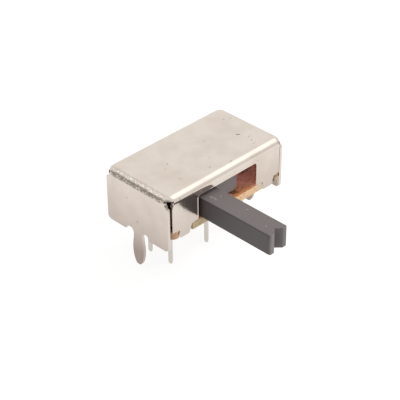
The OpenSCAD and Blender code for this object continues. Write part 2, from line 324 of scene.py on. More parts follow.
def new_material(name):
    """An empty node tree of a new material, and the material."""
    material = bpy.data.materials.new(name)
    material.use_nodes = True
    material.node_tree.nodes.clear()
    return material.node_tree, material


def marks(tree, place, table):
    """How strongly a table's marks show at a place; 0 outside them all.

    A row holds a mark's middle and half size, in millimetres, the degrees that
    it is turned about the vertical, and its strength.
    """
    total = 0.0
    for middle_mm, half_mm, turn_deg, strength in table:
        from_middle = add_node(
            tree,
            "ShaderNodeMapping",
            {
                "Vector": place,
                "Location": Vector(middle_mm) / MM,
                "Rotation": (0.0, 0.0, math.radians(turn_deg)),
                "Scale": Vector(half_mm) / MM,
            },
            vector_type="TEXTURE",
        )
        reach = add_node(tree, "ShaderNodeVectorMath", {0: from_middle}, operation="LENGTH")
        mark = add_node(
            tree,
            "ShaderNodeMapRange",
            {
                "Value": reach.outputs["Value"],
                "From Min": 1.0,
                "From Max": 0.5,
                "To Max": strength,
            },
        )
        total = add_node(tree, "ShaderNodeMath", {0: mark, 1: total}, operation="ADD")
    return total


# ---------------------------------------------------------------- materials

# Marks on the pieces, with their places and sizes as marks() reads them
CASE_KNOCKS = (
    ((4.05, -0.69, ROOF_MM), (0.24, 0.08, 0.2), -45.0, 0.8),
    ((4.44, -1.53, ROOF_MM), (0.3, 0.05, 0.2), 10.0, 0.35),
    ((4.2, -2.03, ROOF_MM), (0.14, 0.1, 0.2), 30.0, 0.3),
    ((4.01, -2.48, ROOF_MM), (0.22, 0.05, 0.2), -20.0, 0.35),
    ((5.44, 1.47, ROOF_MM), (0.14, 0.08, 0.2), -45.0, 0.3),
    ((0.03, -1.48, ROOF_MM), (0.09, 0.07, 0.2), 0.0, 0.3),
    ((-0.88, -2.42, ROOF_MM), (0.1, 0.08, 0.2), 0.0, 0.5),
)
# Painted shadow on the board beside the lever's root
BOARD_ROOT_SHADE = (((1.3, -2.92, BOARD_TOP_MM), (0.5, 0.32, 0.2), -30.0, 0.9),)
# Painted shade in the notches beside the crimps
CRIMP_NOTCH_SHADE = (
    ((-5.34, FRONT_MM, 1.42), (0.17, 0.2, 0.2), 0.0, 0.9),
    ((-5.98, FRONT_MM, 1.2), (0.14, 0.2, 0.25), 0.0, 0.8),
    ((4.0, FRONT_MM, 1.4), (0.2, 0.2, 0.2), 0.0, 0.7),
    ((5.5, FRONT_MM, 1.5), (0.2, 0.2, 0.2), 0.0, 0.6),
)
LEVER_SCUFFS = (((-2.32, -4.2, 3.5), (0.16, 0.65, 0.25), 0.0, 0.6),)
PRONG_PALE_PATCH = (((-2.72, TIP_MM, 2.5), (0.4, 0.2, 1.5), 0.0, 0.18),)
# Painted shade in the groove of the lever's tip
GROOVE_SHADE = (((-1.85, -10.2, 2.5), (0.42, 0.4, 1.15), 0.0, 0.4),)

# Nearly all of a noise pattern's values lie between these
NOISE_LOW, NOISE_HIGH = 0.3, 0.7


def end_fold_bands(tree, place):
    """How strongly the end folds, where bending has stretched the plating, get painted
    shade and a painted glint.

    Painted shade, a dark reflection, lies in a band just above the walls, and faintly
    in a crease where the roof starts to bend. The ridge between the two gets a
    painted glint.
    """
    along, across, height = add_node(tree, "ShaderNodeSeparateXYZ", {"Vector": place}).outputs
    outward = add_node(tree, "ShaderNodeMath", {0: along}, operation="ABSOLUTE")
    reach = add_node(tree, "ShaderNodeMath", {0: across}, operation="ABSOLUTE")
    bands = []
    # A band's strength, and the pairs of places between which it comes in
    for strength, limits_mm in (
        (1.0, ((outward, 5.9, 6.15), (height, 4.2, 4.26), (height, 4.66, 4.56))),
        (0.35, ((outward, 5.85, 5.92), (outward, 6.02, 5.95), (height, 4.6, 4.7))),
        (1.0, ((outward, 6.0, 6.06), (height, 4.56, 4.64))),
    ):
        for value, start_mm, end_mm in (*limits_mm, (reach, 3.0, 2.6)):
            inside = add_node(
                tree,
                "ShaderNodeMapRange",
                {"Value": value, "From Min": start_mm / MM, "From Max": end_mm / MM},
            )
            strength = add_node(
                tree, "ShaderNodeMath", {0: inside, 1: strength}, operation="MULTIPLY"
            )
        bands.append(strength)
    band, crease, painted_fold_glint = bands
    painted_fold_shade = add_node(tree, "ShaderNodeMath", {0: band, 1: crease}, operation="ADD")
    return painted_fold_shade, painted_fold_glint


def sheet_relief(tree, place, grain, crumbs):
    """The plated sheet's relief, from its fine grain to the bow of its walls."""
    along, across, height = add_node(tree, "ShaderNodeSeparateXYZ", {"Vector": place}).outputs

    # The sheet is not quite flat: its waves are about 0.6 mm long
    waves = add_node(
        tree, "ShaderNodeTexNoise", {"Vector": place, "Scale": per_metre(0.6), "Detail": 1.0}
    )

    # The walls bow inwards from their feet to the bend
    bow = add_node(
        tree,
        "ShaderNodeMapRange",
        {"Value": height, "From Min": 4.2e-3, "From Max": 0.2e-3},
        interpolation_type="SMOOTHSTEP",
    )

    # Punching leaves a lip down the front wall, left of the window
    lip = 1.0
    for value, start_mm, end_mm in (
        (along, -3.34, -3.22),
        (height, 3.9, 3.6),
        (across, -3.3, -3.5),
    ):
        inside = add_node(
            tree,
            "ShaderNodeMapRange",
            {"Value": value, "From Min": start_mm / MM, "From Max": end_mm / MM},
        )
        lip = add_node(tree, "ShaderNodeMath", {0: inside, 1: lip}, operation="MULTIPLY")

    relief = add_node(
        tree, "ShaderNodeBump", {"Strength": 0.6, "Distance": 0.004e-3, "Height": grain}
    )
    for shape, depth_mm in ((crumbs, 0.03), (waves, 0.006), (bow, 0.16), (lip, 0.06)):
        relief = add_node(
            tree,
            "ShaderNodeBump",
            {
                "Strength": 1.0,
                "Distance": depth_mm / MM,
                "Height": shape,
                "Normal": relief,
            },
        )
    return relief


def plating_colour(tree, place, crazing, painted_fold_shade, painted_fold_glint):
    """The plating's colour, with its stains, pits and knocks, painted shade low down and in
    the end folds, and painted glints in the end folds.
    """
    settings = bpy.context.scene.switch_case

    # Stains from drying after the bath are about 2 mm across
    stains = add_node(
        tree, "ShaderNodeTexNoise", {"Vector": place, "Scale": per_metre(2.0), "Detail": 4.0}
    )
    stained = add_node(
        tree, "ShaderNodeMapRange", {"Value": stains, "From Min": 0.4, "From Max": 0.68}
    )

    # Painted shade: the plating darkens from the roof down the walls and on down the mounting
    # tabs
    height = add_node(tree, "ShaderNodeSeparateXYZ", {"Vector": place}).outputs["Z"]
    lower_wall = add_node(
        tree,
        "ShaderNodeMapRange",
        {"Value": height, "From Min": 4.6e-3, "From Max": 0.2e-3, "To Max": 0.46},
    )
    tab = add_node(
        tree,
        "ShaderNodeMapRange",
        {"Value": height, "From Min": 0.3e-3, "From Max": -1.6e-3, "To Max": 0.54},
    )
    painted_low_shade = add_node(tree, "ShaderNodeMath", {0: lower_wall, 1: tab}, operation="ADD")

    # The high crumbs of the crazed folds get the painted shade, and the low ones the painted
    # glint
    fold_coats = []
    for band, thin, full, tint in (
        (painted_fold_shade, 0.38, 0.52, "948A7C"),
        (painted_fold_glint, 0.5, 0.42, "F7F1E7"),
    ):
        shown = add_node(
            tree, "ShaderNodeMapRange", {"Value": crazing, "From Min": thin, "From Max": full}
        )
        shown = add_node(tree, "ShaderNodeMath", {0: shown, 1: band}, operation="MULTIPLY")
        fold_coats.append((shown, linear(tint)))

    # Pinhead pits, 0.1 mm across and about 1.3 mm apart
    pits = add_node(tree, "ShaderNodeTexVoronoi", {"Vector": place, "Scale": per_metre(1.3)})
    pitted = add_node(
        tree,
        "ShaderNodeMapRange",
        {"Value": pits, "From Min": 0.09, "From Max": 0.04, "To Max": 0.45},
    )

    # Knocks and scratches come last, from handling
    knocked = marks(tree, place, CASE_KNOCKS)
    colour = settings.plate[:]
    for shown, tint in (
        (stained, settings.stained[:]),
        (painted_low_shade, settings.painted_low_shade[:]),
        *fold_coats,
        (pitted, linear("6F665E")),
        (knocked, linear("4A443E")),
    ):
        coat = add_node(
            tree,
            "ShaderNodeMix",
            {FACTOR: shown, FIRST: colour, SECOND: tint},
            data_type="RGBA",
        )
        colour = coat.outputs[MIXED]
    return colour


def tumbled_nickel_plate():
    """Cold-rolled steel sheet, punched, folded, barrel tumbled and nickel plated.

    To the eye it is a soft warm mirror with faint stains, a few pinhead pits and
    hair scratches, and painted shade darkens it down the walls and towards the ends of the
    mounting tabs.
    """
    tree, material = new_material("tumbled_nickel_plate")
    place = add_node(tree, "ShaderNodeTexCoord").outputs["Object"]

    # The end folds are crazed in crumbs 0.12 mm across, drawn out over the fold
    drawn = add_node(
        tree, "ShaderNodeMapping", {"Vector": place, "Scale": (1.0, 0.55, 1.0)}
    )
    crazing = add_node(
        tree,
        "ShaderNodeTexNoise",
        {"Vector": drawn, "Scale": per_metre(0.12), "Detail": 2.0, "Roughness": 0.7},
    )
    painted_fold_shade, painted_fold_glint = end_fold_bands(tree, place)
    crumbs = add_node(tree, "ShaderNodeMath", {0: crazing, 1: painted_fold_shade}, operation="MULTIPLY")

    # The rolled grain is 0.02 mm fine; drawn at 0.15 mm so that it shows
    grain = add_node(
        tree,
        "ShaderNodeTexNoise",
        {"Vector": place, "Scale": per_metre(0.15), "Detail": 3.0, "Roughness": 0.6},
    )
    rough = add_node(
        tree,
        "ShaderNodeMapRange",
        {
            "Value": grain,
            "From Min": NOISE_LOW,
            "From Max": NOISE_HIGH,
            "To Min": 0.12,
            "To Max": 0.17,
        },
    )
    shader = add_node(
        tree,
        "ShaderNodeBsdfPrincipled",
        {
            "Base Color": plating_colour(tree, place, crazing, painted_fold_shade, painted_fold_glint),
            "Metallic": 1.0,
            "Roughness": rough,
            "Normal": sheet_relief(tree, place, grain, crumbs),
        },
    )
    add_node(tree, "ShaderNodeOutputMaterial", {"Surface": shader})
    return material


def sheared_nickel_plate():
    """Cut edge of the plated sheet: upright drag lines from the punch under the
    plating, so it mirrors its surroundings in streaks."""
    settings = bpy.context.scene.switch_case
    tree, material = new_material("sheared_nickel_plate")
    place = add_node(tree, "ShaderNodeTexCoord").outputs["Object"]
    upright = add_node(
        tree, "ShaderNodeMapping", {"Vector": place, "Scale": (1.0, 1.0, 0.3)}
    )
    # Drag lines are 0.03 mm apart; drawn at 0.08 mm so that they show
    lines = add_node(
        tree, "ShaderNodeTexNoise", {"Vector": upright, "Scale": per_metre(0.08)}
    )
    # Painted shade: it darkens down the tabs, as the faces do
    height = add_node(tree, "ShaderNodeSeparateXYZ", {"Vector": place}).outputs["Z"]
    tab = add_node(
        tree,
        "ShaderNodeMapRange",
        {"Value": height, "From Min": 0.3e-3, "From Max": -1.0e-3, "To Max": 0.6},
    )
    # Painted shade: the cut edges in the corner reliefs, 4 mm up, are darkened
    relief_shade = add_node(
        tree,
        "ShaderNodeMapRange",
        {"Value": height, "From Min": 3.8e-3, "From Max": 4.05e-3, "To Max": 0.7},
    )
    colour = settings.plate[:]
    for shown, tint in (
        (lines, settings.stained[:]),
        (tab, settings.painted_low_shade[:]),
        (relief_shade, linear("4F4636")),
    ):
        coat = add_node(
            tree,
            "ShaderNodeMix",
            {FACTOR: shown, FIRST: colour, SECOND: tint},
            data_type="RGBA",
        )
        colour = coat.outputs[MIXED]
    rough = add_node(
        tree,
        "ShaderNodeMapRange",
        {
            "Value": lines,
            "From Min": NOISE_LOW,
            "From Max": NOISE_HIGH,
            "To Min": 0.2,
            "To Max": 0.32,
        },
    )
    relief = add_node(
        tree, "ShaderNodeBump", {"Strength": 0.3, "Distance": 0.006e-3, "Height": lines}
    )
    shader = add_node(
        tree,
        "ShaderNodeBsdfPrincipled",
        {"Base Color": colour, "Metallic": 1.0, "Roughness": rough, "Normal": relief},
    )
    add_node(tree, "ShaderNodeOutputMaterial", {"Surface": shader})
    return material


def phenolic_laminate_face():
    """Pressed face of paper-phenolic laminate: a glossy resin skin over clouded
    orange-brown paper."""
    settings = bpy.context.scene.switch_base
    tree, material = new_material("phenolic_laminate_face")
    place = add_node(tree, "ShaderNodeTexCoord").outputs["Object"]
    along, across, _ = add_node(tree, "ShaderNodeSeparateXYZ", {"Vector": place}).outputs
    clouds = add_node(
        tree, "ShaderNodeTexNoise", {"Vector": place, "Scale": per_metre(1.1)}
    )
    clouded = add_node(
        tree, "ShaderNodeMapRange", {"Value": clouds, "From Min": 0.35, "From Max": 0.7}
    )
    # Painted light: the front left, where light through the window falls, is tinted orange
    # over the clouding
    from_corner = add_node(
        tree, "ShaderNodeMath", {0: across, 1: 0.9, 2: along}, operation="MULTIPLY_ADD"
    )
    clear = add_node(
        tree,
        "ShaderNodeMapRange",
        {"Value": from_corner, "From Min": 0.4e-3, "From Max": -0.3e-3, "To Max": 0.9},
    )
    # Light passes through the board, except at its left end, which is also darker
    darker_left_end = add_node(
        tree, "ShaderNodeMapRange", {"Value": along, "From Min": -4.2e-3, "From Max": -4.8e-3}
    )
    let_through = add_node(
        tree, "ShaderNodeMath", {0: 1.0, 1: darker_left_end}, operation="SUBTRACT"
    )
    # Painted shadow on the board beside the lever's root
    root_shade = marks(tree, place, BOARD_ROOT_SHADE)
    colour = settings.face[:]
    for shown, tint in (
        (clouded, linear("A4806E")),
        # painted window light, orange
        (clear, linear("8A6038")),
        (darker_left_end, linear("6A4A34")),
        (root_shade, linear("3A2A1C")),
    ):
        coat = add_node(
            tree,
            "ShaderNodeMix",
            {FACTOR: shown, FIRST: colour, SECOND: tint},
            data_type="RGBA",
        )
        colour = coat.outputs[MIXED]
    # Paper fibres lie along the case, 0.1 mm across
    lengthways = add_node(
        tree, "ShaderNodeMapping", {"Vector": place, "Scale": (0.25, 1.0, 1.0)}
    )
    fibres = add_node(
        tree, "ShaderNodeTexNoise", {"Vector": lengthways, "Scale": per_metre(0.1)}
    )
    rough = add_node(
        tree,
        "ShaderNodeMapRange",
        {
            "Value": fibres,
            "From Min": NOISE_LOW,
            "From Max": NOISE_HIGH,
            "To Min": 0.22,
            "To Max": 0.34,
        },
    )
    relief = add_node(
        tree, "ShaderNodeBump", {"Strength": 0.15, "Distance": 0.006e-3, "Height": fibres}
    )
    shader = add_node(
        tree,
        "ShaderNodeBsdfPrincipled",
        {
            "Base Color": colour,
            "Roughness": rough,
            "IOR": 1.58,
            "Subsurface Weight": let_through,
            "Subsurface Scale": 3.0e-3,
            "Subsurface Radius": (1.0, 0.8, 0.8),
            "Normal": relief,
        },
    )
    add_node(tree, "ShaderNodeOutputMaterial", {"Surface": shader})
    return material


def phenolic_laminate_edge():
    """Sheared edge of the laminate: pale fibrous plies that the punch has torn
    and burnished in places, so it runs from cream to orange-brown, with a band of
    painted shade where the lever's shadow falls."""
    settings = bpy.context.scene.switch_base
    tree, material = new_material("phenolic_laminate_edge")
    place = add_node(tree, "ShaderNodeTexCoord").outputs["Object"]

    # From left to right it is orange-brown, olive where painted shade stands for the
    # lever's shadow, cream, grey, and darker grey at the right end; each tint comes in
    # between two places along the case
    along = add_node(tree, "ShaderNodeSeparateXYZ", {"Vector": place}).outputs["X"]
    coats = []
    for start_mm, end_mm, tint in (
        (-4.7, -4.4, linear("C2B792")),
        (-3.0, 1.0, settings.edge[:]),
        (3.2, 3.4, linear("ACA898")),
        (4.9, 5.2, linear("7A7466")),
    ):
        edge_tone_and_shade = add_node(
            tree,
            "ShaderNodeMapRange",
            {"Value": along, "From Min": start_mm / MM, "From Max": end_mm / MM},
        )
        coats.append((edge_tone_and_shade, tint))

    # Plies are 0.12 mm thick and lie flat
    flat = add_node(
        tree, "ShaderNodeMapping", {"Vector": place, "Scale": (0.3, 0.3, 1.0)}
    )
    plies = add_node(
        tree, "ShaderNodeTexNoise", {"Vector": flat, "Scale": per_metre(0.12)}
    )
    coats.append((plies, linear("A98A68")))

    # Painted shade, brown, in the notches beside the crimps
    coats.append((marks(tree, place, CRIMP_NOTCH_SHADE), linear("4A352A")))

    # Shearing leaves crumbs about 0.25 mm across, and burnishes some of them
    crumbs = add_node(
        tree,
        "ShaderNodeTexNoise",
        {"Vector": place, "Scale": per_metre(0.25), "Detail": 4.0, "Roughness": 0.65},
    )
    burnished = add_node(
        tree, "ShaderNodeMapRange", {"Value": crumbs, "From Min": 0.55, "From Max": 0.75}
    )
    coats.append((burnished, settings.scorched[:]))

    colour = linear("A5836C")
    for shown, tint in coats:
        coat = add_node(
            tree,
            "ShaderNodeMix",
            {FACTOR: shown, FIRST: colour, SECOND: tint},
            data_type="RGBA",
        )
        colour = coat.outputs[MIXED]
    rough = add_node(
        tree,
        "ShaderNodeMapRange",
        {
            "Value": crumbs,
            "From Min": NOISE_LOW,
            "From Max": NOISE_HIGH,
            "To Min": 0.65,
            "To Max": 0.85,
        },
    )
    relief = add_node(
        tree, "ShaderNodeBump", {"Strength": 0.5, "Distance": 0.02e-3, "Height": crumbs}
    )
    shader = add_node(
        tree,
        "ShaderNodeBsdfPrincipled",
        {"Base Color": colour, "Roughness": rough, "IOR": 1.5, "Normal": relief},
    )
    add_node(tree, "ShaderNodeOutputMaterial", {"Surface": shader})
    return material


def lever_painted_shade(tree, place):
    """Painted shade on the slider: along the lever's left side, most of all near the
    case, and in the groove in its tip."""
    along, across, _ = add_node(tree, "ShaderNodeSeparateXYZ", {"Vector": place}).outputs
    left = add_node(
        tree, "ShaderNodeMapRange", {"Value": along, "From Min": -2.9e-3, "From Max": -2.96e-3}
    )
    towards_case = add_node(
        tree,
        "ShaderNodeMapRange",
        {
            "Value": across,
            "From Min": -9.0e-3,
            "From Max": -3.6e-3,
            "To Min": 0.3,
            "To Max": 0.62,
        },
    )
    side = add_node(
        tree, "ShaderNodeMath", {0: left, 1: towards_case}, operation="MULTIPLY"
    )
    groove = marks(tree, place, GROOVE_SHADE)
    return add_node(tree, "ShaderNodeMath", {0: groove, 1: side}, operation="ADD")


def lever_scuff_and_pale_prong(tree, place):
    """Where the slider is paler: a broken scuff, 1 mm long, on top of the lever near
    the case, and an even paler patch on the end of one prong."""
    scuff = marks(tree, place, LEVER_SCUFFS)
    breaks = add_node(tree, "ShaderNodeTexNoise", {"Vector": place, "Scale": per_metre(0.2)})
    kept = add_node(
        tree, "ShaderNodeMapRange", {"Value": breaks, "From Min": 0.38, "From Max": 0.6}
    )
    scuff = add_node(tree, "ShaderNodeMath", {0: scuff, 1: kept}, operation="MULTIPLY")
    prong = marks(tree, place, PRONG_PALE_PATCH)
    return add_node(tree, "ShaderNodeMath", {0: prong, 1: scuff}, operation="ADD")


def moulded_acetal():
    """Injection-moulded acetal, dark warm grey, from a finely spark-eroded mould.

    To the eye it is satin, a little uneven in tone, with pale scuffs and specks.
    """
    settings = bpy.context.scene.switch_slider
    tree, material = new_material("moulded_acetal")
    place = add_node(tree, "ShaderNodeTexCoord").outputs["Object"]
    clouds = add_node(
        tree, "ShaderNodeTexNoise", {"Vector": place, "Scale": per_metre(1.4)}
    )
    # Specks are about 0.1 mm across and 0.9 mm apart
    specks = add_node(tree, "ShaderNodeTexVoronoi", {"Vector": place, "Scale": per_metre(0.9)})
    specked = add_node(
        tree,
        "ShaderNodeMapRange",
        {"Value": specks, "From Min": 0.1, "From Max": 0.05, "To Max": 0.6},
    )
    colour = settings.plastic[:]
    for shown, tint in (
        (clouds, linear("5A5353")),
        (specked, settings.rubbed[:]),
        # painted shade on the lever's left side and in its groove
        (lever_painted_shade(tree, place), linear("2F2628")),
        (lever_scuff_and_pale_prong(tree, place), settings.rubbed[:]),
    ):
        coat = add_node(
            tree,
            "ShaderNodeMix",
            {FACTOR: shown, FIRST: colour, SECOND: tint},
            data_type="RGBA",
        )
        colour = coat.outputs[MIXED]
    # The eroded texture is 0.03 mm fine; drawn at 0.09 mm so that it shows
    texture = add_node(
        tree,
        "ShaderNodeTexNoise",
        {"Vector": place, "Scale": per_metre(0.09), "Detail": 2.0},
    )
    rough = add_node(
        tree,
        "ShaderNodeMapRange",
        {
            "Value": texture,
            "From Min": NOISE_LOW,
            "From Max": NOISE_HIGH,
            "To Min": 0.42,
            "To Max": 0.52,
        },
    )
    relief = add_node(
        tree, "ShaderNodeBump", {"Strength": 0.3, "Distance": 0.008e-3, "Height": texture}
    )
    shader = add_node(
        tree,
        "ShaderNodeBsdfPrincipled",
        {"Base Color": colour, "Roughness": rough, "IOR": 1.48, "Normal": relief},
    )
    add_node(tree, "ShaderNodeOutputMaterial", {"Surface": shader})
    return material


def rolled_metal(name, colour, rough_low, rough_high):
    """Rolled strip, drawn wire or a lapped ball: bright metal with faint lines
    along it and uneven gloss."""
    tree, material = new_material(name)
    place = add_node(tree, "ShaderNodeTexCoord").outputs["Object"]
    along = add_node(
        tree, "ShaderNodeMapping", {"Vector": place, "Scale": (1.0, 1.0, 0.2)}
    )
    # Rolling lines are 0.02 mm apart; drawn at 0.06 mm so that they show
    lines = add_node(
        tree, "ShaderNodeTexNoise", {"Vector": along, "Scale": per_metre(0.06)}
    )
    darker = (*(0.85 * channel for channel in colour[:3]), 1.0)
    shaded = add_node(
        tree,
        "ShaderNodeMix",
        {FACTOR: lines, FIRST: colour, SECOND: darker},
        data_type="RGBA",
    )
    rough = add_node(
        tree,
        "ShaderNodeMapRange",
        {
            "Value": lines,
            "From Min": NOISE_LOW,
            "From Max": NOISE_HIGH,
            "To Min": rough_low,
            "To Max": rough_high,
        },
    )
    relief = add_node(
        tree, "ShaderNodeBump", {"Strength": 0.2, "Distance": 0.004e-3, "Height": lines}
    )
    shader = add_node(
        tree,
        "ShaderNodeBsdfPrincipled",
        {
            "Base Color": shaded.outputs[MIXED],
            "Metallic": 1.0,
            "Roughness": rough,
            "Normal": relief,
        },
    )
    add_node(tree, "ShaderNodeOutputMaterial", {"Surface": shader})
    return material


def back_lit_acrylic():
    """White acrylic sheet lit from behind, as a product table has: it looks white
    all over, with hardly a shadow."""
    settings = bpy.context.scene.switch_studio
    tree, material = new_material("back_lit_acrylic")
    place = add_node(tree, "ShaderNodeTexCoord").outputs["Object"]
    # A faint haze on its face, about 20 mm across
    haze = add_node(
        tree, "ShaderNodeTexNoise", {"Vector": place, "Scale": per_metre(20.0)}
    )
    rough = add_node(
        tree, "ShaderNodeMapRange", {"Value": haze, "To Min": 0.8, "To Max": 0.95}
    )
    shader = add_node(
        tree,
        "ShaderNodeBsdfPrincipled",
        {
            "Base Color": settings.floor[:],
            "Roughness": rough,
            "Specular IOR Level": 0.0,
            "Emission Color": (1.0, 1.0, 1.0, 1.0),
            "Emission Strength": settings.floor_glow,
        },
    )
    add_node(tree, "ShaderNodeOutputMaterial", {"Surface": shader})
    return material


# ---------------------------------------------------------------- mesh work

ROUND_FACETS = 3  # across a rounded edge
FLAT_WEIGHT = 100  # how far large faces outweigh small ones in the shading


def only(piece):
    """Makes piece the one selected and active object."""
    bpy.ops.object.select_all(action="DESELECT")
    piece.select_set(True)
    bpy.context.view_layer.objects.active = piece


def copy_node(node, name):
    """A merged copy of a CAD node's mesh, in millimetres."""
    piece = bpy.data.objects.new(name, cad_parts[node].data.copy())
    bpy.context.scene.collection.objects.link(piece)
    only(piece)
    bpy.ops.object.mode_set(mode="EDIT")
    bpy.ops.mesh.select_all(action="SELECT")
    bpy.ops.transform.resize(value=(MM,) * 3, center_override=(0, 0, 0))
    bpy.ops.mesh.customdata_custom_splitnormals_clear()
    bpy.ops.mesh.remove_doubles(threshold=MERGE_MM)
    bpy.ops.mesh.dissolve_limited(angle_limit=math.radians(FLAT_DEG))
    bpy.ops.object.mode_set(mode="OBJECT")
    piece.data.materials.clear()
    return piece


def select_edges(piece, indices):
    """Enters edit mode with just these edges selected."""
    bpy.ops.object.mode_set(mode="EDIT")
    bpy.ops.mesh.select_mode(type="EDGE")
    bpy.ops.mesh.select_all(action="DESELECT")
    bpy.ops.object.mode_set(mode="OBJECT")
    for index in indices:
        piece.data.edges[index].select = True
    bpy.ops.object.mode_set(mode="EDIT")


def round_edges(piece, radius, left_out=lambda place: False):
    """Rounds the sharp edges, apart from those that touch a left-out place."""
    only(piece)
    select_edges(piece, ())
    bpy.ops.mesh.edges_select_sharp(sharpness=math.radians(SHARP_DEG))
    bpy.ops.object.mode_set(mode="OBJECT")
    mesh = piece.data
    wanted = [
        edge.index
        for edge in mesh.edges
        if edge.select and not any(left_out(mesh.vertices[i].co) for i in edge.vertices)
    ]
    select_edges(piece, wanted)
    bpy.ops.mesh.bevel(
        offset=radius * MM, segments=ROUND_FACETS, affect="EDGES", clamp_overlap=False
    )
    bpy.ops.object.mode_set(mode="OBJECT")


def to_metres(piece):
    """Shrinks a finished piece from millimetres, and shades it so that its flat
    faces look flat and its small radii round."""
    only(piece)
    bpy.ops.object.mode_set(mode="EDIT")
    bpy.ops.mesh.select_all(action="SELECT")
    bpy.ops.transform.resize(value=(1 / MM,) * 3, center_override=(0, 0, 0))
    bpy.ops.object.mode_set(mode="OBJECT")
    bpy.ops.object.shade_smooth_by_angle(angle=math.radians(SMOOTH_DEG))
    weighted = piece.modifiers.new("flat faces", "WEIGHTED_NORMAL")
    weighted.keep_sharp = True
    weighted.weight = FLAT_WEIGHT
    bpy.ops.object.modifier_apply(modifier=weighted.name)
    bpy.ops.object.select_all(action="DESELECT")


def stand_for(piece, node, body):
    """Puts a finished piece on its body, and hides the CAD node that it stands for."""
    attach(piece, body)
    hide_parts(node)


# ---------------------------------------------------------------- pieces

EDGE_ON = 0.3  # a cut face's normal has less than this of the sheet's
WIRE_SIDES = 14
STEPS_PER_TURN = 36


def is_cut_edge(face):
    """True for the faces where the case's sheet was cut through."""
    place, normal = face.center, face.normal
    if place.z > BEND_START_MM:
        return False
    if abs(place.x) > WALL_X_MM:
        return abs(normal.x) < EDGE_ON
    if abs(place.y) > WALL_Y_MM:
        return abs(normal.y) < EDGE_ON
    return abs(normal.z) < EDGE_ON


def in_tight_fold(place):
    """True in the roof corners' reliefs and the crimp tabs' folds, where faces
    are smaller than the edge radius."""
    past_x = abs(place.x) > END_MM - RELIEF_REACH_MM
    past_y = abs(place.y) > -FRONT_MM - RELIEF_REACH_MM
    if past_x and past_y and place.z > ROOF_MM - RELIEF_DEPTH_MM:
        return True
    wall_y, low_z, top_z = CRIMP_FOLD_MM
    return abs(place.y) > wall_y and low_z < place.z < top_z


def at_lever_root(place):
    """True where the lever's underside meets the front skid, where the radius
    would bulge."""
    skid_y, foot_z = LEVER_ROOT_MM
    return abs(place.y - skid_y) < MERGE_MM and place.z < foot_z


def open_seams(shell):
    """Trims the front and back walls' ends, so that the corner seams gape as they
    do once the walls have sprung back."""
    left_x, right_x = SEAM_X_MM
    for vertex in shell.data.vertices:
        place = vertex.co
        on_wall = abs(place.y) > WALL_Y_MM and place.z < BEND_START_MM
        if on_wall and abs(place.x) < WALL_X_MM:
            place.x = min(max(place.x, left_x), right_x)


class SWITCH_OT_case_shell(Operator):
    """Finish the folded steel case"""

    bl_idname = "slide_switch.case_shell"
    bl_label = "Case"

    def execute(self, context):
        shell = copy_node("case", "case_shell")
        shell.data.materials.append(tumbled_nickel_plate())
        shell.data.materials.append(sheared_nickel_plate())
        open_seams(shell)
        for face in shell.data.polygons:
            face.material_index = 1 if is_cut_edge(face) else 0
        round_edges(shell, context.scene.switch_case.edge_round, in_tight_fold)
        to_metres(shell)
        stand_for(shell, "case", "housing")
        return {"FINISHED"}


class SWITCH_OT_base_laminate(Operator):
    """Finish the punched laminate base"""

    bl_idname = "slide_switch.base_laminate"
    bl_label = "Base"

    def execute(self, context):
        board = copy_node("base_board", "base_laminate")
        board.data.materials.append(phenolic_laminate_face())
        board.data.materials.append(phenolic_laminate_edge())
        for face in board.data.polygons:
            face.material_index = 0 if abs(face.normal.z) > 0.5 else 1
        round_edges(board, context.scene.switch_base.edge_round)
        to_metres(board)
        stand_for(board, "base_board", "housing")
        return {"FINISHED"}


class SWITCH_OT_terminals(Operator):
    """Finish the six stamped terminals"""

    bl_idname = "slide_switch.terminals"
    bl_label = "Terminals"

    def execute(self, context):
        settings = context.scene.switch_metal
        silver = rolled_metal("silver_plated_brass", settings.silver[:], 0.2, 0.3)
        for node in sorted(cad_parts):
            if not node.startswith("terminal_"):
                continue
            strip = copy_node(node, node + "_strip")
            strip.data.materials.append(silver)
            round_edges(strip, settings.edge_round)
            to_metres(strip)
            stand_for(strip, node, "housing")
        return {"FINISHED"}


class SWITCH_OT_slider_moulding(Operator):
    """Finish the moulded slider and its lever"""

    bl_idname = "slide_switch.slider_moulding"
    bl_label = "Slider"

    def execute(self, context):
        moulding = copy_node("slider", "slider_moulding")
        moulding.data.materials.append(moulded_acetal())
        round_edges(moulding, context.scene.switch_slider.edge_round, at_lever_root)
        to_metres(moulding)
        stand_for(moulding, "slider", "slider_group")
        return {"FINISHED"}


